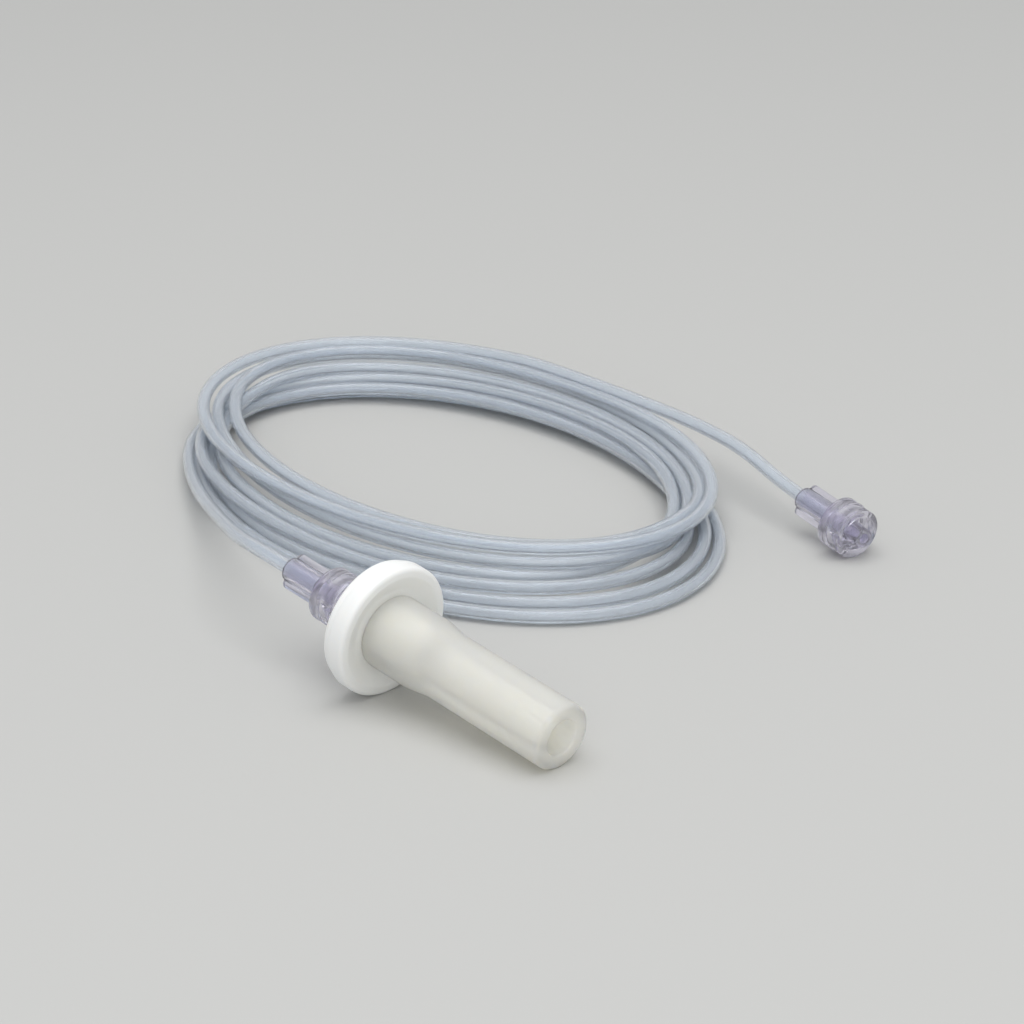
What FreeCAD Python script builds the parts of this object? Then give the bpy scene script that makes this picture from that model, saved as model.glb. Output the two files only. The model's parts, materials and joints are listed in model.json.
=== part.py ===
"""Hand-held nasal aspirator: silicone mouthpiece, disc filter, luer connectors and coiled tubing.

The mouthpiece, the filter and the near connector share one straight axis.  Their bodies are
drawn in one local frame whose Z runs along that axis, from the tail of the near connector
(Z = 0) to the open end of the mouthpiece.  The whole stack then lies on the floor, resting on
the filter's rim and on the mouthpiece's end.  The far connector is the same design again.
"""
import FreeCAD
import Part
import Sketcher
import math
import os
import re

doc = FreeCAD.newDocument("NasalAspirator")

# ---------------------------------------------------------------- driving dimensions (mm)
SIZES = [
    # tubing
    ("tube_diameter", 2.8), ("tube_bore", 1.5), ("socket_depth", 8.0),
    # connector body: slim tail with two wings, neck, flange and male luer taper
    ("tail_length", 11.0), ("tail_radius", 2.4), ("wing_start", 0.3), ("wing_length", 10.2),
    ("wing_span", 7.2), ("wing_thickness", 1.3), ("wing_corner", 1.1), ("neck_radius", 2.0),
    ("flange_radius", 3.3), ("flange_thickness", 0.7), ("luer_length", 5.8),
    ("luer_tip_radius", 1.99), ("luer_taper", 0.06), ("luer_bore_radius", 1.1),
    # spinning lock collar with a two-start internal thread
    ("collar_radius", 5.2), ("collar_wall", 1.4), ("collar_set_back", 2.1),
    ("thread_minor", 3.55), ("thread_major", 4.1), ("thread_lead", 5.0),
    ("groove_mouth", 1.5), ("groove_root", 1.0), ("groove_overrun", 0.15),
    ("rib_height", 0.2), ("rib_width", 0.6),
    ("rib_spacing", 2.0), ("spin_gap", 0.1), ("spin_clearance", 0.05),
    # female luer port with two lugs, on the back shell
    ("luer_engaged", 4.3), ("luer_clearance", 0.03), ("port_radius", 3.1),
    ("port_depth", 7.6), ("passage_radius", 1.0), ("rim_easing", 1.05),
    ("port_foot", 1.26), ("lug_inset", 0.65), ("lug_radius", 3.9),
    ("lug_clearance", 0.12), ("lug_bury", 0.1), ("lug_sweep", 60.0), ("port_length", 7.9),
    # filter disc
    ("back_rim_radius", 12.45), ("back_thickness", 2.1), ("front_rim_radius", 13.0),
    ("front_thickness", 3.6), ("stub_easing", 0.68), ("rim_round", 1.5),
    ("dish_depth", 1.3), ("dish_radius", 8.2), ("dish_width", 2.9), ("chamber_radius", 10.6),
    ("chamber_depth", 0.9), ("membrane_thickness", 0.2), ("backing_thickness", 0.35),
    ("layer_clearance", 0.05), ("seat_clearance", 0.3),
    # outlet stub and mouthpiece
    ("stub_radius", 4.85), ("stub_length", 11.6), ("stub_bore_radius", 3.4),
    ("sleeve_clearance", 0.04), ("mouth_radius", 6.45), ("mouth_bore_radius", 3.5),
    ("mouth_length", 45.0), ("stretch_radius", 7.25), ("relax_length", 5.0),
    ("mouth_round", 0.8), ("seat_gap", 0.2),
    # the coil of tubing, as one closed ring
    ("coil_outer_length", 161.0), ("coil_outer_width", 111.0), ("coil_outer_turned", -12.0),
    ("coil_outer_x", -70.0), ("coil_outer_y", 76.0), ("coil_inner_length", 112.0),
    ("coil_inner_width", 69.0), ("coil_inner_turned", -9.0), ("coil_inner_x", -71.0),
    ("coil_inner_y", 77.0), ("coil_height", 11.2), ("coil_round", 3.0),
    # where things lie
    ("near_wing_turn", -36.5), ("far_wing_turn", -41.4), ("far_tip_x", 11.3), ("far_tip_y", 110.1),
    ("far_heading", -9.0), ("far_dip", 7.6),
    # how far the tubing runs straight on from each connector
    ("near_straight", 9.0), ("far_straight", 6.0),
]
sheet = doc.addObject("Spreadsheet::Sheet", "Sizes")
for row, (alias, value) in enumerate(SIZES, start=1):
    sheet.set("A%d" % row, alias)
    sheet.set("B%d" % row, str(value))
    sheet.setAlias("B%d" % row, alias)
doc.recompute()


def size(alias):
    """A driving dimension's value, read from the sheet."""
    return float(sheet.get(alias))


def bound(formula):
    """The formula with each dimension's name pointing at the sheet."""
    return re.sub(r"[a-z]+_[a-z_]+", lambda word: "Sizes." + word.group(), formula)


def value_of(formula):
    """The formula's number now, worked out by the sheet, for code that places or measures."""
    return float(sheet.evalExpression(formula))


# ---------------------------------------------------------------- stations along the axis
BODY_FRONT = "(tail_length + 2 * spin_gap + collar_wall)"
LUER_BASE = "(%s + flange_thickness)" % BODY_FRONT
LUER_TIP = "(%s + luer_length)" % LUER_BASE
COLLAR_BACK = "(tail_length + spin_gap)"
COLLAR_FRONT = "(%s - collar_set_back)" % LUER_TIP
PORT_MOUTH = "(%s - luer_engaged)" % LUER_TIP
LUG_CENTRE = "(%s + lug_inset)" % PORT_MOUTH
GROOVE_CENTRE = "(%s - thread_lead / 4)" % LUG_CENTRE
BACK_FACE = "(%s + port_length)" % PORT_MOUTH
SEAM = "(%s + back_thickness)" % BACK_FACE
FRONT_FACE = "(%s + front_thickness)" % SEAM
DISH_FLOOR = "(%s - dish_depth)" % FRONT_FACE
STUB_END = "(%s + stub_length)" % DISH_FLOOR
MOUTH_START = "(%s + seat_gap)" % DISH_FLOOR
MOUTH_END = "(%s + mouth_length)" % MOUTH_START


# ---------------------------------------------------------------- small drawing helpers
def body_named(label):
    body = doc.addObject("PartDesign::Body", label)
    body.Label = label
    return body


def origin_plane(body, role):
    return [item for item in body.Origin.OriginFeatures if item.Role == role][0]


def sketch_on(body, role, name):
    sketch = body.newObject("Sketcher::SketchObject", name)
    sketch.AttachmentSupport = [(origin_plane(body, role), "")]
    sketch.MapMode = "FlatFace"
    return sketch


def outline_sketch(body, name, corners, role="XZ_Plane"):
    """A closed outline of straight edges; each corner is a pair of bound formulas."""
    sketch = sketch_on(body, role, name)
    points = [FreeCAD.Vector(value_of(x), value_of(y), 0) for x, y in corners]
    count = len(points)
    for index in range(count):
        sketch.addGeometry(Part.LineSegment(points[index], points[(index + 1) % count]), False)
    for index in range(count):
        sketch.addConstraint(Sketcher.Constraint("Coincident", index, 2, (index + 1) % count, 1))
    for index, (x, y) in enumerate(corners):
        for kind, formula, number in (("DistanceX", x, points[index].x),
                                      ("DistanceY", y, points[index].y)):
            row = sketch.addConstraint(Sketcher.Constraint(kind, -1, 1, index, 1, number))
            sketch.setExpression("Constraints[%d]" % row, bound(formula))
    return sketch


def revolved(body, name, corners):
    """A full turn of an outline given as (radius, station) corners."""
    sketch = outline_sketch(body, name + "_outline", corners)
    turn = body.newObject("PartDesign::Revolution", name)
    turn.Profile = sketch
    turn.ReferenceAxis = (sketch, ["V_Axis"])
    turn.Angle = 360
    doc.recompute()
    return turn


def circle_edges(feature, radius, station=None):
    """Names of a feature's round edges about Z with this radius, at this station if given."""
    names = []
    for index, edge in enumerate(feature.Shape.Edges, start=1):
        curve = edge.Curve
        if not isinstance(curve, Part.Circle) or abs(curve.Radius - radius) > 1e-4:
            continue
        if math.hypot(curve.Center.x, curve.Center.y) > 1e-4:
            continue
        if station is None or abs(curve.Center.z - station) < 1e-4:
            names.append("Edge%d" % index)
    return names


def rounded(body, name, feature, edges, radius_formula):
    fillet = body.newObject("PartDesign::Fillet", name)
    fillet.Base = (feature, edges)
    fillet.setExpression("Radius", bound(radius_formula))
    doc.recompute()
    return fillet


def helical(body, name, kind, corners, height_formula, role="XZ_Plane"):
    """A two-start helical cut or ridge with the thread's lead, swept from an outline."""
    sketch = outline_sketch(body, name + "_outline", corners, role)
    thread = body.newObject("PartDesign::" + kind, name)
    thread.Profile = sketch
    thread.ReferenceAxis = (sketch, ["V_Axis"])
    thread.Mode = 0
    thread.setExpression("Pitch", bound("thread_lead"))
    thread.setExpression("Height", bound(height_formula))
    doc.recompute()
    ring = body.newObject("PartDesign::PolarPattern", name + "_starts")
    ring.Originals = [thread]
    ring.Axis = (sketch, ["V_Axis"])
    ring.Angle = 360
    ring.Occurrences = 2
    body.Tip = ring
    doc.recompute()
    return ring


# ---------------------------------------------------------------- connector
def connector_body(label):
    """Moulded connector: bonded tubing socket, two wings, neck, flange and male luer taper."""
    body = body_named(label)
    bore = "luer_bore_radius"
    socket = "(tube_diameter / 2)"
    base_radius = "(luer_tip_radius + luer_taper / 2 * luer_length)"
    turned = revolved(body, "Turned", [
        (socket, "0"), ("tail_radius", "0"), ("tail_radius", "tail_length"),
        ("neck_radius", "tail_length"), ("neck_radius", BODY_FRONT),
        ("flange_radius", BODY_FRONT), ("flange_radius", LUER_BASE),
        (base_radius, LUER_BASE), ("luer_tip_radius", LUER_TIP), (bore, LUER_TIP),
        (bore, "socket_depth"), (socket, "socket_depth")])
    half = "(wing_span / 2)"
    inner = "((tube_diameter / 2 + tail_radius) / 2)"
    body.Tip = turned
    last = turned
    for side, sign in (("Left", "-1"), ("Right", "1")):
        corners = [(sign + " * " + inner, "wing_start"),
                   (sign + " * " + half, "wing_start"),
                   (sign + " * " + half, "wing_start + wing_length"),
                   (sign + " * " + inner, "wing_start + wing_length")]
        sketch = outline_sketch(body, side + "_wing_outline", corners)
        last = body.newObject("PartDesign::Pad", side + "_wing")
        last.Profile = sketch
        last.Midplane = True
        last.setExpression("Length", bound("wing_thickness"))
        doc.recompute()
    corners = []
    for index, edge in enumerate(last.Shape.Edges, start=1):
        ends = [abs(abs(vertex.X) - size("wing_span") / 2) < 1e-4 for vertex in edge.Vertexes]
        if len(ends) == 2 and all(ends) and abs(edge.Vertexes[0].Z - edge.Vertexes[1].Z) < 1e-4:
            corners.append("Edge%d" % index)
    body.Tip = rounded(body, "Wing_corners", last, corners, "wing_corner")
    return body


def connector_collar(label):
    """Lock collar: turns freely on the connector's neck, two-start thread inside."""
    body = body_named(label)
    cavity = "(%s + collar_wall)" % COLLAR_BACK
    hole = "(neck_radius + spin_clearance)"
    ribbed = "(collar_radius + rib_height)"
    second = "(%s + rib_spacing)" % COLLAR_BACK
    turned = revolved(body, "Turned", [
        (hole, COLLAR_BACK), (ribbed, COLLAR_BACK), (ribbed, COLLAR_BACK + " + rib_width"),
        ("collar_radius", COLLAR_BACK + " + rib_width"), ("collar_radius", second),
        (ribbed, second), (ribbed, second + " + rib_width"),
        ("collar_radius", second + " + rib_width"), ("collar_radius", COLLAR_FRONT),
        ("thread_minor", COLLAR_FRONT), ("thread_minor", cavity), (hole, cavity)])
    body.Tip = turned
    inner, outer = "-(thread_minor - groove_overrun)", "-thread_major"
    helical(body, "Groove", "SubtractiveHelix", [
        (inner, GROOVE_CENTRE + " - groove_mouth / 2"),
        (inner, GROOVE_CENTRE + " + groove_mouth / 2"),
        (outer, GROOVE_CENTRE + " + groove_root / 2"),
        (outer, GROOVE_CENTRE + " - groove_root / 2")],
        "%s - %s + groove_mouth" % (COLLAR_FRONT, GROOVE_CENTRE), "YZ_Plane")
    return body


# ---------------------------------------------------------------- filter
def filter_back_shell():
    """Back half of the disc, with the female luer port and its two lock lugs."""
    body = body_named("filter_back_shell")
    mouth = "(luer_tip_radius + luer_taper / 2 * luer_engaged + luer_clearance)"
    inside = "(%s - luer_taper / 2 * port_depth)" % mouth
    taper_end = "(%s + port_depth)" % PORT_MOUTH
    step_radius = "(chamber_radius + seat_clearance)"
    turned = revolved(body, "Turned", [
        (mouth, PORT_MOUTH), ("port_radius", PORT_MOUTH),
        ("port_radius", BACK_FACE), ("back_rim_radius", BACK_FACE), ("back_rim_radius", SEAM),
        (step_radius, SEAM), (step_radius, SEAM + " - chamber_depth"),
        ("passage_radius", SEAM + " - chamber_depth"), ("passage_radius", taper_end),
        (inside, taper_end)])
    edge = circle_edges(turned, size("back_rim_radius"), value_of(BACK_FACE))
    eased = rounded(body, "Rim_edge", turned, edge, "rim_easing")
    foot = circle_edges(eased, size("port_radius"), value_of(BACK_FACE))
    blended = rounded(body, "Port_foot", eased, foot, "port_foot")
    body.Tip = blended
    helical(body, "Lug", "AdditiveHelix", [
        ("port_radius - lug_bury", LUG_CENTRE + " - groove_mouth / 2 + lug_clearance"),
        ("port_radius - lug_bury", LUG_CENTRE + " + groove_mouth / 2 - lug_clearance"),
        ("lug_radius", LUG_CENTRE + " + groove_root / 2 - lug_clearance"),
        ("lug_radius", LUG_CENTRE + " - groove_root / 2 + lug_clearance")],
        "thread_lead * lug_sweep / 360")
    return body


def filter_front_shell():
    """Front half of the disc: rounded rim, shallow dish, and the stub that the sleeve grips."""
    body = body_named("filter_front_shell")
    recess = "(chamber_radius + seat_clearance)"
    turned = revolved(body, "Turned", [
        (recess, SEAM), ("front_rim_radius", SEAM), ("front_rim_radius", FRONT_FACE),
        ("dish_radius + dish_width", FRONT_FACE), ("dish_radius", DISH_FLOOR),
        ("stub_radius", DISH_FLOOR), ("stub_radius", STUB_END),
        ("stub_bore_radius", STUB_END),
        ("stub_bore_radius", SEAM + " + chamber_depth"), (recess, SEAM + " + chamber_depth")])
    rim = circle_edges(turned, size("front_rim_radius"), value_of(FRONT_FACE))
    eased = rounded(body, "Rim_edge", turned, rim, "rim_round")
    tip = circle_edges(eased, size("stub_radius"), value_of(STUB_END))
    body.Tip = rounded(body, "Stub_edge", eased, tip, "stub_easing")
    return body


def filter_layer(label, start_formula, thickness_formula):
    """One flat round layer held in the chamber between the two shells."""
    body = body_named(label)
    sketch = sketch_on(body, "XY_Plane", "Round")
    sketch.addGeometry(Part.Circle(FreeCAD.Vector(0, 0, 0), FreeCAD.Vector(0, 0, 1), 5), False)
    sketch.addConstraint(Sketcher.Constraint("Coincident", 0, 3, -1, 1))
    row = sketch.addConstraint(Sketcher.Constraint("Radius", 0, size("chamber_radius")))
    sketch.setExpression("Constraints[%d]" % row, bound("chamber_radius"))
    sketch.setExpression("AttachmentOffset.Base.z", bound(start_formula))
    pad = body.newObject("PartDesign::Pad", "Layer")
    pad.Profile = sketch
    pad.setExpression("Length", bound(thickness_formula))
    doc.recompute()
    return body


def mouthpiece():
    """Silicone sleeve: stretched over the stub, then relaxed to its own diameter."""
    body = body_named("mouthpiece")
    seat = "(stub_radius + sleeve_clearance)"
    pocket_end = "(%s + sleeve_clearance)" % STUB_END
    relaxed = "(%s + relax_length)" % STUB_END
    turned = revolved(body, "Turned", [
        (seat, MOUTH_START), ("stretch_radius", MOUTH_START),
        ("stretch_radius", STUB_END + " - relax_length / 2"), ("mouth_radius", relaxed),
        ("mouth_radius", MOUTH_END), ("mouth_bore_radius", MOUTH_END),
        ("mouth_bore_radius", pocket_end + " + stub_radius - mouth_bore_radius"),
        (seat, pocket_end)])
    rims = circle_edges(turned, size("mouth_radius"), value_of(MOUTH_END))
    rims += circle_edges(turned, size("stretch_radius"), value_of(MOUTH_START))
    body.Tip = rounded(body, "Rims", turned, rims, "mouth_round")
    return body


near_body = connector_body("near_connector_body")
near_collar = connector_collar("near_connector_collar")
far_body = connector_body("far_connector_body")
far_collar = connector_collar("far_connector_collar")
back_shell = filter_back_shell()
front_shell = filter_front_shell()
backing_start = SEAM + " - backing_thickness - layer_clearance"
backing = filter_layer("membrane_backing", backing_start, "backing_thickness")
membrane = filter_layer("filter_membrane", SEAM, "membrane_thickness")
sleeve = mouthpiece()
device = [near_body, near_collar, back_shell, front_shell, backing, membrane, sleeve]


# ---------------------------------------------------------------- laying it all down
def axis_placement(base, heading, dip, roll):
    """Local Z points along the heading (degrees from +X) and dips below the level."""
    turn = FreeCAD.Rotation(FreeCAD.Vector(0, 0, 1), heading)
    tip_down = FreeCAD.Rotation(FreeCAD.Vector(0, 1, 0), 90 + dip)
    spin = FreeCAD.Rotation(FreeCAD.Vector(0, 0, 1), roll)
    return FreeCAD.Placement(base, turn.multiply(tip_down).multiply(spin))


def bounds_of(bodies):
    box = FreeCAD.BoundBox()
    for body in bodies:
        box.add(body.Shape.optimalBoundingBox(True, False))
    return box


rim_station = value_of(FRONT_FACE) - size("rim_round")
end_station = value_of(MOUTH_END) - size("mouth_round")
rim_centre = size("front_rim_radius") - size("rim_round")
end_centre = size("mouth_radius") - size("mouth_round")
between = math.hypot(end_station - rim_station, rim_centre - end_centre)
lean = math.atan2(rim_centre - end_centre, end_station - rim_station)
device_dip = math.degrees(lean + math.asin((size("rim_round") - size("mouth_round")) / between))
for body in device:
    roll = size("near_wing_turn") if body is near_body else 0
    body.Placement = axis_placement(FreeCAD.Vector(), 0, device_dip, roll)
doc.recompute()
box = bounds_of(device)
device_tail = FreeCAD.Vector(-(box.XMin + box.XMax) / 2, 0, -box.ZMin)
for body in device:
    body.Placement = FreeCAD.Placement(device_tail, body.Placement.Rotation)

far_length = value_of(LUER_TIP)
for body in (far_body, far_collar):
    roll = size("far_wing_turn") if body is far_body else 0
    body.Placement = axis_placement(FreeCAD.Vector(), size("far_heading"), size("far_dip"), roll)
doc.recompute()
far_axis = far_body.Placement.Rotation.multVec(FreeCAD.Vector(0, 0, 1))
far_tail = FreeCAD.Vector(size("far_tip_x"), size("far_tip_y"), 0) - far_axis * far_length
far_tail.z = -bounds_of([far_body, far_collar]).ZMin
for body in (far_body, far_collar):
    body.Placement = FreeCAD.Placement(far_tail, body.Placement.Rotation)
near_axis = near_body.Placement.Rotation.multVec(FreeCAD.Vector(0, 0, 1))


# ---------------------------------------------------------------- tubing
CORNER_SHARE = 0.45  # of the shorter of two straight runs, used up by the arc between them


def tube_run(label, route):
    """A round tube of straight runs joined by arcs as large as the runs allow."""
    edges = []
    here = route[0]
    for before, corner, after in zip(route, route[1:], route[2:]):
        into, out = corner - before, after - corner
        shorter = min(into.Length, out.Length)
        half_turn = into.getAngle(out) / 2
        reach = CORNER_SHARE * shorter
        radius = reach / math.tan(half_turn)
        start = corner - into.normalize() * reach
        end = corner + out.normalize() * reach
        bisector = (out - into).normalize()
        centre = corner + bisector * (radius / math.cos(half_turn))
        middle = centre - bisector * radius
        edges.append(Part.LineSegment(here, start).toShape())
        edges.append(Part.Arc(start, middle, end).toShape())
        print("%s arc radius %.1f mm" % (label, radius))
        here = end
    edges.append(Part.LineSegment(here, route[-1]).toShape())
    path = Part.Wire(edges)
    ring = Part.Circle(route[0], route[1] - route[0], size("tube_diameter") / 2).toShape()
    hole = Part.Circle(route[0], route[1] - route[0], size("tube_bore") / 2).toShape()
    outer = path.makePipeShell([Part.Wire(ring)], True, False)
    inner = path.makePipeShell([Part.Wire(hole)], True, False)
    section = math.pi * size("tube_diameter") ** 2 / 4
    print("%s length %.1f mm, volume against section x length %.4f"
          % (label, path.Length, outer.Volume / (section * path.Length)))
    feature = doc.addObject("Part::Feature", label)
    feature.Label = label
    feature.Shape = outer.cut(inner)
    return feature


near_route = [device_tail + near_axis * size("socket_depth"),
              device_tail - near_axis * size("near_straight"),
              FreeCAD.Vector(-59.5, 6.6, 14.6), FreeCAD.Vector(-75.6, 16.2, 10.4),
              FreeCAD.Vector(-92.0, 25.9, 6.6)]
far_route = [far_tail + far_axis * size("socket_depth"),
             far_tail - far_axis * size("far_straight"),
             FreeCAD.Vector(-29.0, 117.5, 9.8), FreeCAD.Vector(-40.5, 120.5, 9.4)]
tube_run("tubing_near_run", near_route)
tube_run("tubing_far_run", far_route)


def oval(which):
    """One of the coil ring's two outlines, as a face lying on the floor."""
    length, width = size("coil_%s_length" % which), size("coil_%s_width" % which)
    curve = Part.Ellipse(FreeCAD.Vector(0, 0, 0), length / 2, width / 2)
    face = Part.Face(Part.Wire(curve.toShape()))
    place = FreeCAD.Vector(size("coil_%s_x" % which), size("coil_%s_y" % which), 0)
    turn = FreeCAD.Rotation(FreeCAD.Vector(0, 0, 1), size("coil_%s_turned" % which))
    face.Placement = FreeCAD.Placement(place, turn)
    return face


def tubing_coil():
    """The loose coil's outer shape: an oval ring lying flat on the floor."""
    up = FreeCAD.Vector(0, 0, size("coil_height"))
    solid = oval("outer").extrude(up).cut(oval("inner").extrude(up))
    rims = [edge for edge in solid.Edges if edge.isClosed()]
    solid = solid.makeFillet(size("coil_round"), rims)
    feature = doc.addObject("Part::Feature", "tubing_coil")
    feature.Label = "tubing_coil"
    feature.Shape = solid


tubing_coil()
doc.recompute()

# ---------------------------------------------------------------- checks and export
NODES = ["mouthpiece", "filter_front_shell", "filter_back_shell", "filter_membrane",
         "membrane_backing", "near_connector_body", "near_connector_collar",
         "far_connector_body", "far_connector_collar", "tubing_near_run", "tubing_coil",
         "tubing_far_run"]
for item in doc.Objects:
    if "Invalid" in item.State or "Error" in item.State:
        raise RuntimeError("failed object: %s %s" % (item.Label, item.State))
os.makedirs("parts", exist_ok=True)
for node in NODES:
    shape = doc.getObjectsByLabel(node)[0].Shape
    if shape.isNull() or not shape.isValid() or len(shape.Solids) != 1:
        raise RuntimeError("bad shape: %s" % node)
    shape.exportStep("parts/%s.step" % node)
    box = shape.BoundBox
    print("%-22s volume %9.2f  x %7.2f..%7.2f  y %7.2f..%7.2f  z %6.2f..%6.2f" % (
        node, shape.Volume, box.XMin, box.XMax, box.YMin, box.YMax, box.ZMin, box.ZMax))
print("axis: tail %s direction %s dip %.3f" % (device_tail, near_axis, device_dip))
print("far: tail %s direction %s" % (far_tail, far_axis))
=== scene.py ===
"""Looks of the nasal aspirator: silicone mouthpiece, white disc filter, clear violet luer
connectors with lock collars, and one length of clear vinyl tubing wound into a loose coil.

Everything is in metres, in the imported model's own frame: +X along the device towards the
mouthpiece's open end, +Z up, the floor at Z = 0.
"""
import json
import math

import bpy
import bmesh
import numpy as np
from mathutils import Matrix, Vector


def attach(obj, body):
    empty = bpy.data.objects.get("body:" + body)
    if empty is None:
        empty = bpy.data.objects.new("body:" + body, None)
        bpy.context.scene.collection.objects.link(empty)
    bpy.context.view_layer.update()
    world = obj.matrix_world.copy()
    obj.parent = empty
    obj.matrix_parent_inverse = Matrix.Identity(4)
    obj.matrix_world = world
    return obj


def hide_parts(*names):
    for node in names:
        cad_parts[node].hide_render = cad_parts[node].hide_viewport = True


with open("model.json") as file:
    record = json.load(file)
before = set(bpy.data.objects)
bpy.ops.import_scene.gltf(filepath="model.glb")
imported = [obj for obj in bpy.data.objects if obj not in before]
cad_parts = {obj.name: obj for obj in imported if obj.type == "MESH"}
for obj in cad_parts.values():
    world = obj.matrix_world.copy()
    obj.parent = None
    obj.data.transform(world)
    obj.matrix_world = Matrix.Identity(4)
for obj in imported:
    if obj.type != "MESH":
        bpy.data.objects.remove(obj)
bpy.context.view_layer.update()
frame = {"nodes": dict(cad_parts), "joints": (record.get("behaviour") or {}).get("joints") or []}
MM = 0.001
scene = bpy.context.scene

# ================================================================ camera
# A long lens three quarters of a metre away, looking down at the coil from the mouthpiece's side.
LENS = 127.4 * MM
SENSOR = 36.0 * MM
CAMERA_AZIMUTH = math.radians(45.5)
CAMERA_ELEVATION = math.radians(22.15)
CAMERA_DISTANCE = 0.750
AIM = Vector((-56.7, 78.3, 0.0)) * MM

away = Vector((math.sin(CAMERA_AZIMUTH) * math.cos(CAMERA_ELEVATION),
               -math.cos(CAMERA_AZIMUTH) * math.cos(CAMERA_ELEVATION),
               math.sin(CAMERA_ELEVATION)))
camera_data = bpy.data.cameras.new("camera")
camera_data.lens = LENS / MM
camera_data.sensor_width = SENSOR / MM
camera_data.clip_start = 0.05
camera_data.clip_end = 20.0
camera = bpy.data.objects.new("camera", camera_data)
camera.location = AIM + away * CAMERA_DISTANCE
camera.rotation_euler = away.to_track_quat("Z", "Y").to_euler()
scene.collection.objects.link(camera)
scene.camera = camera

# ================================================================ tubing
# One length of clear plasticised PVC tubing, extruded, 2.8 mm over a 1.5 mm bore.  It is bonded
# into both connectors and lies wound by hand into a loose oval coil of a little over seven turns.
TUBE_DIAMETER = 2.8 * MM
TUBE_BORE = 1.5 * MM
SOCKET_DEPTH = 8.0 * MM
# The bore's closed ends stand this far back from the tube's.
BORE_INSET = 0.1 * MM
# Straight tubing behind each connector before it starts to bend.
NEAR_STRAIGHT = 9.0 * MM
FAR_STRAIGHT = 6.0 * MM
# Each collar's hinge sits this far along its connector, measured from the tail that holds the tube.
HINGE_STATION = 14.0 * MM

joints = {joint["name"]: joint for joint in frame["joints"]}
near_axis = Vector(joints["filter_pull_off"]["axis"]).normalized()
near_tail = Vector(joints["near_collar_turn"]["pos_m"]) - near_axis * HINGE_STATION
far_axis = Vector(joints["far_collar_turn"]["axis"]).normalized()
far_tail = Vector(joints["far_collar_turn"]["pos_m"]) - far_axis * HINGE_STATION

# From the near connector's socket down to the floor at the coil's left end.
near_route = [near_tail + near_axis * SOCKET_DEPTH, near_tail - near_axis * NEAR_STRAIGHT,
              Vector((-59.5, 6.6, 14.6)) * MM, Vector((-75.6, 16.2, 10.4)) * MM,
              Vector((-92.0, 25.9, 6.6)) * MM, Vector((-105.0, 33.9, 4.3)) * MM,
              Vector((-116.5, 41.7, 2.9)) * MM]
# From the back of the coil to the far connector's socket.
far_route = [Vector((-60.2, 125.5, 9.8)) * MM, Vector((-43.2, 123.0, 10.1)) * MM,
             Vector((-29.0, 119.0, 10.4)) * MM, far_tail - far_axis * FAR_STRAIGHT,
             far_tail + far_axis * SOCKET_DEPTH]

# Each lap of the coil is an oval of its own: centre x, y, half length, half width (mm), turn
# (degrees).  The lowest laps lie nearest the viewer, the last one is the widest.
LAPS = np.array([(-69.5, 73.6, 72.0, 47.5, -10.0), (-70.5, 71.6, 69.0, 45.0, -10.0),
                 (-72.0, 72.5, 66.0, 44.0, -9.0), (-75.0, 74.0, 63.0, 43.0, -10.0),
                 (-77.0, 77.0, 60.5, 41.5, -11.0), (-78.0, 83.0, 66.5, 42.5, -9.0),
                 (-80.5, 85.5, 63.5, 39.5, -9.0), (-78.5, 81.8, 69.0, 44.5, -8.0),
                 (-73.0, 80.9, 75.5, 46.5, -8.5)])
# The coil starts and ends at these bearings (degrees), after this many full laps in between.
COIL_STARTS = 213.0
COIL_ENDS = 104.0
FULL_LAPS = 7
POINTS_PER_LAP = 36
# How much higher each lap lies than the one before (mm), before the laps settle.
LAP_LIFT = 1.08


def coil_points():
    """The coil's turns in mm: ovals that change from lap to lap, each lap a little higher."""
    sweep = COIL_STARTS - COIL_ENDS + 360.0 * FULL_LAPS
    count = int(sweep / 360.0 * POINTS_PER_LAP)
    points = []
    for step in range(count + 1):
        swept = sweep * step / count
        lap = swept / 360.0
        whole = min(int(lap), len(LAPS) - 2)
        share = lap - whole
        cx, cy, length, width, turned = LAPS[whole] * (1 - share) + LAPS[whole + 1] * share
        turned = math.radians(turned)
        angle = math.radians(COIL_STARTS - swept) - turned
        along, across = length * math.cos(angle), width * math.sin(angle)
        points.append((cx + along * math.cos(turned) - across * math.sin(turned),
                       cy + along * math.sin(turned) + across * math.cos(turned),
                       TUBE_DIAMETER / MM / 2 + LAP_LIFT * lap))
    return points


# How the laps settle.  Each round every point sags a little, is drawn back to its own height and
# evened out against its neighbours, and is pushed off whatever tubing it meets.
ROUNDS = 260
SAG = 0.01
DRAWN_HOME = 0.03
EVENED = 0.3
PUSHED_OFF = 0.25
PUSH_SPEED = 1.5
# A later lap is always pushed at least this share of its thickness upwards.
RIDES_OVER = 0.35
# Points closer than this along the tubing never count as meeting.
SAME_STRETCH = 8


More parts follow.
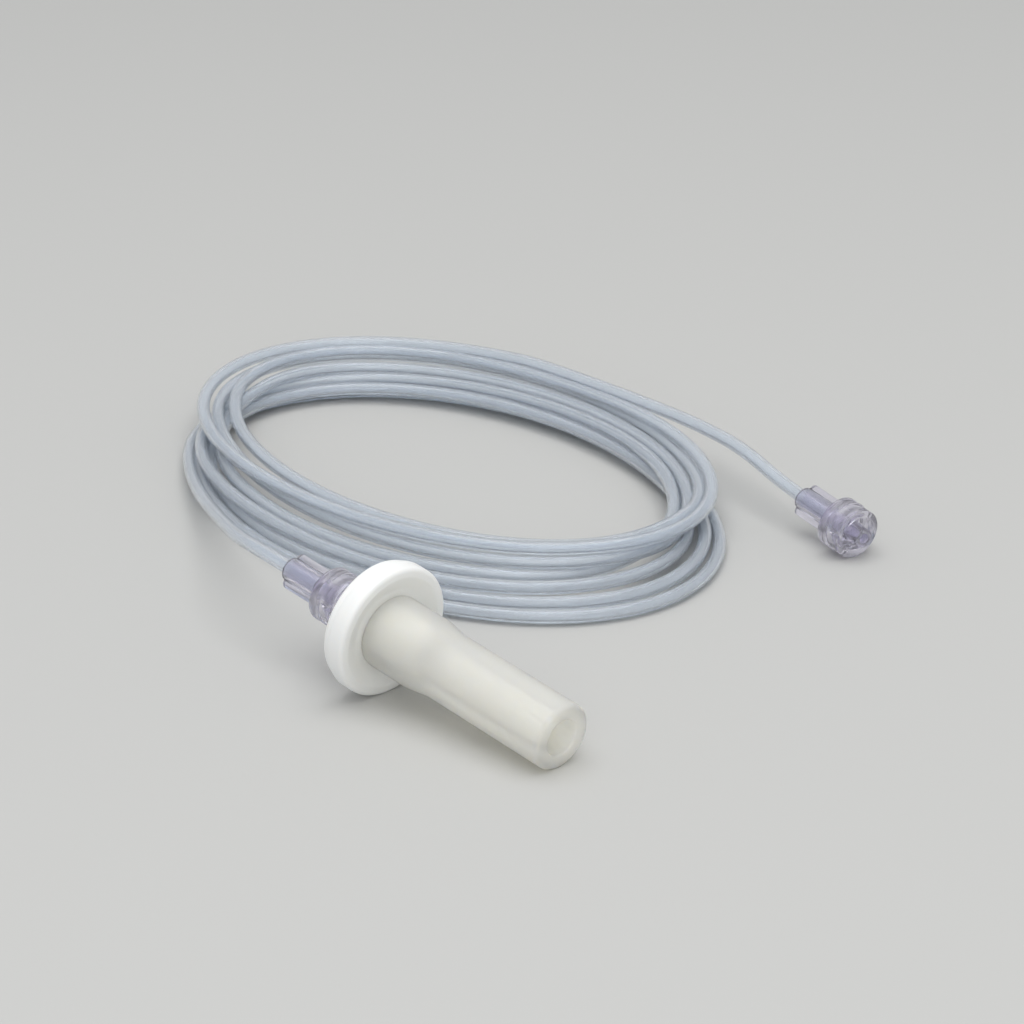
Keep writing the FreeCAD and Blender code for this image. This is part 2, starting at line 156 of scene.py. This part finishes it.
def settle(points, fixed_start, fixed_end):
    """Lets the laps find room: where two meet, the later one rides over the earlier one."""
    points = np.array(points)
    home = points.copy()
    count = len(points)
    thick = TUBE_DIAMETER / MM
    free = slice(fixed_start, count - fixed_end)
    order = np.arange(count)
    apart = np.abs(order[:, None] - order[None, :-1]) > SAME_STRETCH
    for _ in range(ROUNDS):
        points[free, 2] += DRAWN_HOME * (home[free, 2] - points[free, 2]) - SAG
        middle = np.zeros_like(points)
        middle[1:-1] = (points[:-2] + points[2:]) / 2 - points[1:-1]
        points[free, 2] += EVENED * middle[free, 2]
        start, run = points[:-1], np.diff(points, axis=0)
        share = ((points[:, None] - start) * run).sum(2) / (run ** 2).sum(1)
        share = np.clip(share, 0, 1)
        gap = points[:, None] - (start + share[..., None] * run)
        distance = np.linalg.norm(gap, axis=2)
        this, other = np.nonzero(apart & (distance < thick))
        if len(this):
            near = distance[this, other]
            away_from = gap[this, other].copy()
            later = np.where(this > other, 1, -1)
            flat = away_from[:, 2] * later < RIDES_OVER * near
            away_from[:, 2] = np.where(flat, later * RIDES_OVER * thick, away_from[:, 2])
            away_from /= np.linalg.norm(away_from, axis=1)[:, None]
            push = ((thick - near) * PUSHED_OFF)[:, None] * away_from
            along = share[this, other][:, None]
            move, met = np.zeros_like(points), np.zeros((count, 1))
            for where, weight in ((this, 1.0), (other, along - 1), (other + 1, -along)):
                np.add.at(move, where, push * weight)
                np.add.at(met, where, np.abs(weight) * np.ones((len(this), 1)))
            points[free] += (PUSH_SPEED * move / np.maximum(met, 1))[free]
        drift = points[:, :2] - home[:, :2]
        even = np.zeros_like(drift)
        even[1:-1] = (drift[:-2] + drift[2:]) / 2 - drift[1:-1]
        points[free, :2] += EVENED * even[free]
        points[:, 2] = np.maximum(points[:, 2], thick / 2)
    return points


# The whole line, in mm: one smooth curve through both runs and the coil.
route = [tuple(point / MM) for point in near_route] + coil_points()
route += [tuple(point / MM) for point in far_route]
route = settle(route, len(near_route), len(far_route))

curve = bpy.data.curves.new("tubing_line", "CURVE")
curve.dimensions = "3D"
curve.resolution_u = 6
spline = curve.splines.new("NURBS")
spline.points.add(len(route) - 1)
for control, place in zip(spline.points, route):
    control.co = (*(place * MM), 1.0)
spline.order_u = 3
spline.use_endpoint_u = True
tubing_line = bpy.data.objects.new("tubing_line", curve)
scene.collection.objects.link(tubing_line)
line_mesh = bpy.data.meshes.new_from_object(tubing_line)
bpy.data.meshes.remove(line_mesh)


def paint(code):
    """An sRGB hex colour as linear values."""
    linear = []
    for start in (0, 2, 4):
        part = int(code[start:start + 2], 16) / 255
        linear.append(part / 12.92 if part <= 0.04045 else ((part + 0.055) / 1.055) ** 2.4)
    return (*linear, 1.0)


def add(tree, kind, values=None, links=None, **settings):
    """One node with its settings, its socket values and its incoming links."""
    node = tree.nodes.new(kind)
    for name, value in settings.items():
        setattr(node, name, value)
    for name, value in (values or {}).items():
        node.inputs[name].default_value = value
    for name, source in (links or {}).items():
        tree.links.new(source, node.inputs[name])
    return node


def finish_material(name, values):
    """A material whose principled shader has these values."""
    material = bpy.data.materials.new(name)
    material.use_nodes = True
    for socket, value in values.items():
        material.node_tree.nodes["Principled BSDF"].inputs[socket].default_value = value
    return material


def dress(piece, material):
    """Puts one material on every face of a piece."""
    piece.data.materials.clear()
    piece.data.materials.append(material)
    for face in piece.data.polygons:
        face.use_smooth = True


# What the tree below is given: two radii and how many sides each ring has.
WALL_SIZES = {"Outer radius": TUBE_DIAMETER / 2, "Bore radius": TUBE_BORE / 2,
              "Outer sides": 30, "Bore sides": 18}


def tube_wall_tree(material):
    """Geometry nodes: an outer wall and a bore, both swept along the line."""
    tree = bpy.data.node_groups.new("tube_wall", "GeometryNodeTree")
    tree.interface.new_socket("Line", in_out="INPUT", socket_type="NodeSocketGeometry")
    for name, size in WALL_SIZES.items():
        kind = "NodeSocketInt" if isinstance(size, int) else "NodeSocketFloat"
        tree.interface.new_socket(name, in_out="INPUT", socket_type=kind)
    tree.interface.new_socket("Wall", in_out="OUTPUT", socket_type="NodeSocketGeometry")
    given = add(tree, "NodeGroupInput").outputs
    outer_ring = add(tree, "GeometryNodeCurvePrimitiveCircle",
                     links={"Resolution": given["Outer sides"], "Radius": given["Outer radius"]})
    outer = add(tree, "GeometryNodeCurveToMesh", {"Fill Caps": True},
                {"Curve": given["Line"], "Profile Curve": outer_ring.outputs["Curve"]})
    bore_ring = add(tree, "GeometryNodeCurvePrimitiveCircle",
                    links={"Resolution": given["Bore sides"], "Radius": given["Bore radius"]})
    shorter = add(tree, "GeometryNodeTrimCurve", links={"Curve": given["Line"]}, mode="LENGTH")
    full = add(tree, "GeometryNodeCurveLength", links={"Curve": given["Line"]})
    stop = add(tree, "ShaderNodeMath", links={0: full.outputs["Length"]}, operation="SUBTRACT")
    stop.inputs[1].default_value = BORE_INSET
    starts = [socket for socket in shorter.inputs if socket.name == "Start"][-1]
    ends = [socket for socket in shorter.inputs if socket.name == "End"][-1]
    starts.default_value = BORE_INSET
    tree.links.new(stop.outputs[0], ends)
    bore = add(tree, "GeometryNodeCurveToMesh", {"Fill Caps": True},
               {"Curve": shorter.outputs["Curve"], "Profile Curve": bore_ring.outputs["Curve"]})
    inside = add(tree, "GeometryNodeFlipFaces", links={"Mesh": bore.outputs["Mesh"]})
    both = add(tree, "GeometryNodeJoinGeometry", links={"Geometry": outer.outputs["Mesh"]})
    tree.links.new(inside.outputs["Mesh"], both.inputs["Geometry"])
    smooth = add(tree, "GeometryNodeSetShadeSmooth", links={"Geometry": both.outputs["Geometry"]})
    real = add(tree, "GeometryNodeRealizeInstances", links={"Geometry": smooth.outputs["Geometry"]})
    painted = add(tree, "GeometryNodeSetMaterial", {"Material": material},
                  {"Geometry": real.outputs["Geometry"]})
    add(tree, "NodeGroupOutput", links={"Wall": painted.outputs["Geometry"]})
    return tree


# Plasticised PVC, extruded: clear and glossy with a slight haze, faintly blue, so that stacked
# turns deepen to blue grey.
clear_vinyl = finish_material("clear_extruded_vinyl", {
    "Base Color": paint("F4F9FF"), "Roughness": 0.09, "IOR": 1.38,
    "Transmission Weight": 0.8})

wall = tubing_line.modifiers.new("tube_wall", "NODES")
wall.node_group = tube_wall_tree(clear_vinyl)
for socket in wall.node_group.interface.items_tree:
    if socket.name in WALL_SIZES:
        wall[socket.identifier] = WALL_SIZES[socket.name]
evaluated = tubing_line.evaluated_get(bpy.context.evaluated_depsgraph_get())
tubing = bpy.data.objects.new("tubing", bpy.data.meshes.new_from_object(evaluated))
scene.collection.objects.link(tubing)
bpy.data.objects.remove(tubing_line)
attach(tubing, "line")
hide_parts("tubing_near_run", "tubing_coil", "tubing_far_run")

# ================================================================ connectors
# Injection-moulded clear polycarbonate with a violet tint: a slim tail with two wings, a neck
# on which the lock collar turns, and a male luer taper.  Edges are eased as a mould leaves them.
CONNECTOR_EASING = 0.16 * MM
# Corners of a copied piece closer than this are one corner, faces flatter to each other than this
# are one face, and edges sharper than this are rounded.
SAME_CORNER = 0.002 * MM
SAME_FACE = math.radians(0.5)
SHARP_EDGE = math.radians(35)


def eased_copy(node, name, easing):
    """A CAD piece's surface joined up again, with its sharp edges rounded."""
    copy = bpy.data.objects.new(name, frame["nodes"][node].data.copy())
    scene.collection.objects.link(copy)
    shell = bmesh.new()
    shell.from_mesh(copy.data)
    bmesh.ops.remove_doubles(shell, verts=shell.verts, dist=SAME_CORNER)
    bmesh.ops.dissolve_limit(shell, angle_limit=SAME_FACE, verts=shell.verts, edges=shell.edges)
    shell.to_mesh(copy.data)
    shell.free()
    bevel = copy.modifiers.new("eased", "BEVEL")
    bevel.width = easing
    bevel.segments = 2
    bevel.limit_method = "ANGLE"
    bevel.angle_limit = SHARP_EDGE
    bevel.use_clamp_overlap = True
    evaluated = copy.evaluated_get(bpy.context.evaluated_depsgraph_get())
    plain = bpy.data.meshes.new_from_object(evaluated)
    copy.modifiers.clear()
    copy.data = plain
    return copy


def raise_skin(material, pattern, relief, strength):
    """Lifts a material's surface by the height that a pattern gives."""
    tree = material.node_tree
    bump = add(tree, "ShaderNodeBump", {"Strength": strength, "Distance": relief},
               {"Height": pattern})
    tree.links.new(bump.outputs["Normal"], tree.nodes["Principled BSDF"].inputs["Normal"])


# Polycarbonate moulded in a finely sparked tool: clear violet, with a dimpled skin that breaks up
# what shows through.  The dimples are a little over a millimetre apart.
DIMPLE_SPACING = 1.11 * MM
clear_violet = finish_material("violet_tinted_polycarbonate", {
    "Base Color": paint("F0EEF9"), "Roughness": 0.13, "IOR": 1.4,
    "Transmission Weight": 0.93})
place = add(clear_violet.node_tree, "ShaderNodeTexCoord").outputs["Object"]
dimples = add(clear_violet.node_tree, "ShaderNodeTexNoise",
              {"Scale": 1 / DIMPLE_SPACING, "Detail": 3.0}, {"Vector": place})
raise_skin(clear_violet, dimples.outputs["Fac"], 0.03 * MM, 0.25)

for node, body in (("near_connector_body", "line"), ("near_connector_collar", "near_collar"),
                   ("far_connector_body", "line"), ("far_connector_collar", "far_collar")):
    piece = eased_copy(node, node + "_moulding", CONNECTOR_EASING)
    dress(piece, clear_violet)
    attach(piece, body)
    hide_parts(node)

# ================================================================ filter disc
# Two injection-moulded white ABS shells welded at the rim.  The front one has a rounded rim, a
# shallow dish and the stub that the mouthpiece grips; the back one is slightly smaller.
# Radii and stations are in mm, along the device's axis from the near connector's tail.
SEAM = 24.8
FRONT_THICKNESS = 3.6
RIM_RADIUS = 13.0
RIM_ROUND = 1.5
SEAM_STEP = 0.08
SEAM_GROOVE = 0.3
RECESS_RADIUS = 10.9
RECESS_DEPTH = 0.9
DISH_RADIUS = 8.2
DISH_WIDTH = 2.9
DISH_DEPTH = 1.3
STUB_RADIUS = 4.85
STUB_BORE = 3.4
STUB_LENGTH = 11.6
STUB_EASING = 0.68
FRONT_FACE = SEAM + FRONT_THICKNESS
DISH_FLOOR = FRONT_FACE - DISH_DEPTH
STUB_END = DISH_FLOOR + STUB_LENGTH
BACK_SHELL_EASING = 0.12 * MM


def outline(corners, steps=6):
    """Points of a closed outline whose corners (radius, station, rounding) are arcs, in mm."""
    points = []
    count = len(corners)
    for index, (radius, station, rounding) in enumerate(corners):
        corner = Vector((radius, station))
        before = Vector(corners[index - 1][:2]) - corner
        after = Vector(corners[(index + 1) % count][:2]) - corner
        if rounding <= 0:
            points.append(corner)
            continue
        half = before.angle(after) / 2
        reach = min(rounding / math.tan(half), 0.49 * before.length, 0.49 * after.length)
        arc_radius = reach * math.tan(half)
        start = corner + before.normalized() * reach
        end = corner + after.normalized() * reach
        centre = corner + (before.normalized() + after.normalized()).normalized() \
            * (arc_radius / math.sin(half))
        first = start - centre
        for step in range(steps + 1):
            blend = first.lerp(end - centre, step / steps).normalized() * arc_radius
            points.append(centre + blend)
    return points


def turned(name, points, where, sides=128):
    """A closed outline (radius, station in mm) spun about the local Z and put in its place."""
    shape = bmesh.new()
    rings = []
    for side in range(sides):
        angle = 2 * math.pi * side / sides
        rings.append([shape.verts.new(where @ Vector((point[0] * MM * math.cos(angle),
                                                      point[0] * MM * math.sin(angle),
                                                      point[1] * MM))) for point in points])
    for side in range(sides):
        ring, following = rings[side], rings[(side + 1) % sides]
        for index in range(len(points)):
            after = (index + 1) % len(points)
            shape.faces.new((ring[index], ring[after], following[after], following[index]))
    bmesh.ops.remove_doubles(shape, verts=shape.verts, dist=0.001 * MM)
    bmesh.ops.recalc_face_normals(shape, faces=shape.faces)
    mesh = bpy.data.meshes.new(name)
    shape.to_mesh(mesh)
    shape.free()
    piece = bpy.data.objects.new(name, mesh)
    scene.collection.objects.link(piece)
    return piece


def axis_frame(origin, direction):
    """Matrix whose local Z runs along the direction, with its zero at origin."""
    z = Vector(direction).normalized()
    y = Vector((0, 0, 1)).cross(z).normalized()
    x = y.cross(z)
    return Matrix.Translation(origin) @ Matrix((x, y, z)).transposed().to_4x4()


near_frame = axis_frame(near_tail, near_axis)


front_corners = [
    (RECESS_RADIUS, SEAM, 0), (RIM_RADIUS - SEAM_STEP, SEAM, 0.12),
    (RIM_RADIUS, SEAM + SEAM_GROOVE, 0.3), (RIM_RADIUS, FRONT_FACE, RIM_ROUND),
    (DISH_RADIUS + DISH_WIDTH, FRONT_FACE, 1.2), (DISH_RADIUS, DISH_FLOOR, 3.0),
    (STUB_RADIUS, DISH_FLOOR, 0.5), (STUB_RADIUS, STUB_END, STUB_EASING),
    (STUB_BORE, STUB_END, 0.2), (STUB_BORE, SEAM + RECESS_DEPTH, 0.2),
    (RECESS_RADIUS, SEAM + RECESS_DEPTH, 0)]
front_shell = turned("front_shell_moulding", outline(front_corners), near_frame)

# White ABS from a satin tool: a soft sheen with no mirror in it, and a grain of 0.6 mm that is
# drawn coarser than the real one so that it shows.
ABS_GRAIN = 0.625 * MM
white_abs = finish_material("white_moulded_abs", {
    "Base Color": paint("F4F5F4"), "Roughness": 0.38, "IOR": 1.52,
    "Subsurface Weight": 0.25, "Subsurface Scale": 0.6 * MM,
    "Subsurface Radius": (1.0, 0.9, 0.8)})
place = add(white_abs.node_tree, "ShaderNodeTexCoord").outputs["Object"]
grain = add(white_abs.node_tree, "ShaderNodeTexNoise", {"Scale": 1 / ABS_GRAIN, "Detail": 2.0},
            {"Vector": place})
raise_skin(white_abs, grain.outputs["Fac"], 0.02 * MM, 0.12)
dress(front_shell, white_abs)
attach(front_shell, "filter")
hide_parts("filter_front_shell")

back_shell = eased_copy("filter_back_shell", "back_shell_moulding", BACK_SHELL_EASING)
dress(back_shell, white_abs)
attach(back_shell, "filter")
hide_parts("filter_back_shell")

# ================================================================ membrane and pad
# A round of fine porous membrane welded between the shells, and behind it a non-woven pad that
# keeps it from bulging.  Both stay hidden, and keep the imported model's own shapes.
# Cast membrane: matt white, pitted with pores drawn far coarser than the real ones.
PORE_SPACING = 0.167 * MM
porous_membrane = finish_material("porous_membrane", {
    "Base Color": paint("F1F1EC"), "Roughness": 0.9})
place = add(porous_membrane.node_tree, "ShaderNodeTexCoord").outputs["Object"]
pores = add(porous_membrane.node_tree, "ShaderNodeTexVoronoi", {"Scale": 1 / PORE_SPACING},
            {"Vector": place})
raise_skin(porous_membrane, pores.outputs["Distance"], 0.03 * MM, 0.4)
dress(frame["nodes"]["filter_membrane"], porous_membrane)

# Heat-bonded polyester fibres: off-white and matt, with the tangle of the fibres showing.
FIBRE_SPACING = 0.417 * MM
fibre_pad = finish_material("non_woven_fibre_pad", {
    "Base Color": paint("E4E4DE"), "Roughness": 0.95, "Sheen Weight": 0.3})
place = add(fibre_pad.node_tree, "ShaderNodeTexCoord").outputs["Object"]
fibres = add(fibre_pad.node_tree, "ShaderNodeTexNoise",
             {"Scale": 1 / FIBRE_SPACING, "Detail": 4.0, "Distortion": 1.5}, {"Vector": place})
raise_skin(fibre_pad, fibres.outputs["Fac"], 0.05 * MM, 0.6)
dress(frame["nodes"]["membrane_backing"], fibre_pad)

# ================================================================ mouthpiece
# A moulded silicone sleeve, milky and translucent, stretched over the filter's stub and relaxed
# to its own diameter beyond it.  Both rims are rounded.
SLEEVE_LENGTH = 45.0
STRETCHED = 7.25
RELAXED = 6.45
MOUTH_BORE = 3.5
OUTER_ROUND = 0.8
# It stops just short of the dish and lies this far off the stub, so that nothing overlaps.
DISH_GAP = 0.2
STUB_GAP = 0.04
SLEEVE_START = DISH_FLOOR + DISH_GAP
SLEEVE_END = SLEEVE_START + SLEEVE_LENGTH
SEAT = STUB_RADIUS + STUB_GAP
# Its outside starts to ease just before the stub's end and has relaxed some way beyond it.
EASE_FROM = STUB_END - 2.5
EASE_TO = STUB_END + 5.0
EASE_STEPS = 12


def sleeve_outline():
    """The sleeve's wall: an S-shaped step where it leaves the stub, rounded rims."""
    outside = [(STRETCHED, SLEEVE_START, OUTER_ROUND)]
    for step in range(EASE_STEPS + 1):
        share = step / EASE_STEPS
        eased = share * share * (3 - 2 * share)
        outside.append((STRETCHED + (RELAXED - STRETCHED) * eased,
                        EASE_FROM + (EASE_TO - EASE_FROM) * share, 0))
    outside += [(RELAXED, SLEEVE_END, OUTER_ROUND), (MOUTH_BORE, SLEEVE_END, 0.35)]
    inside = [(MOUTH_BORE, STUB_END + SEAT - MOUTH_BORE, 0.5), (SEAT, STUB_END + STUB_GAP, 0.1),
              (SEAT, SLEEVE_START, 0.25)]
    return outline(outside + inside)


mouthpiece = turned("mouthpiece_sleeve", sleeve_outline(), near_frame)
# Unpigmented liquid silicone: milky, lit from within and satin, slightly uneven to the touch over
# a few millimetres.
CLOUD_SPACING = 4.55 * MM
milky_silicone = finish_material("milky_moulded_silicone", {
    "Base Color": paint("FFFDF3"), "Roughness": 0.42, "IOR": 1.12,
    "Subsurface Weight": 1.0, "Subsurface Scale": 8.0 * MM,
    "Subsurface Radius": (1.0, 0.95, 0.82), "Transmission Weight": 0.55})
place = add(milky_silicone.node_tree, "ShaderNodeTexCoord").outputs["Object"]
cloud = add(milky_silicone.node_tree, "ShaderNodeTexNoise",
            {"Scale": 1 / CLOUD_SPACING, "Detail": 2.0}, {"Vector": place})
raise_skin(milky_silicone, cloud.outputs["Fac"], 0.05 * MM, 0.08)
dress(mouthpiece, milky_silicone)
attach(mouthpiece, "mouthpiece")
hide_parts("mouthpiece")

# ================================================================ floor and light
# A pale seamless sweep under one broad soft light, with weak fill from the front.
HALF = 4.0
floor_mesh = bpy.data.meshes.new("floor")
floor_mesh.from_pydata([(-HALF, -HALF, 0), (HALF, -HALF, 0), (HALF, HALF, 0), (-HALF, HALF, 0)],
                       [], [(0, 1, 2, 3)])
floor = bpy.data.objects.new("floor", floor_mesh)
scene.collection.objects.link(floor)
# Matt paper, pale and neutral, with hardly any shine.
pale_sweep = finish_material("pale_paper_sweep", {
    "Base Color": paint("C3C3C1"), "Roughness": 0.75, "Specular IOR Level": 0.2})
dress(floor, pale_sweep)

LIT_SPOT = Vector((-0.05, 0.07, 0.0))


def soft_light(name, place, size, watts):
    """A round white soft box that looks at the middle of the coil."""
    data = bpy.data.lights.new(name, "AREA")
    data.shape = "DISK"
    data.size = size
    data.energy = watts
    light = bpy.data.objects.new(name, data)
    light.location = place
    light.rotation_euler = (Vector(place) - LIT_SPOT).to_track_quat("Z", "Y").to_euler()
    scene.collection.objects.link(light)


soft_light("overhead", (0.1, -0.05, 1.2), 1.4, 10.0)
soft_light("front_fill", (0.9, -0.9, 0.7), 1.0, 4.0)

world = bpy.data.worlds.new("studio")
scene.world = world
world.use_nodes = True
world.node_tree.nodes["Background"].inputs["Color"].default_value = paint("E0E1E2")
world.node_tree.nodes["Background"].inputs["Strength"].default_value = 0.72
scene.view_settings.view_transform = "Standard"
# Light crosses many thin walls where the turns lie stacked.
scene.cycles.max_bounces = 24
scene.cycles.transmission_bounces = 24
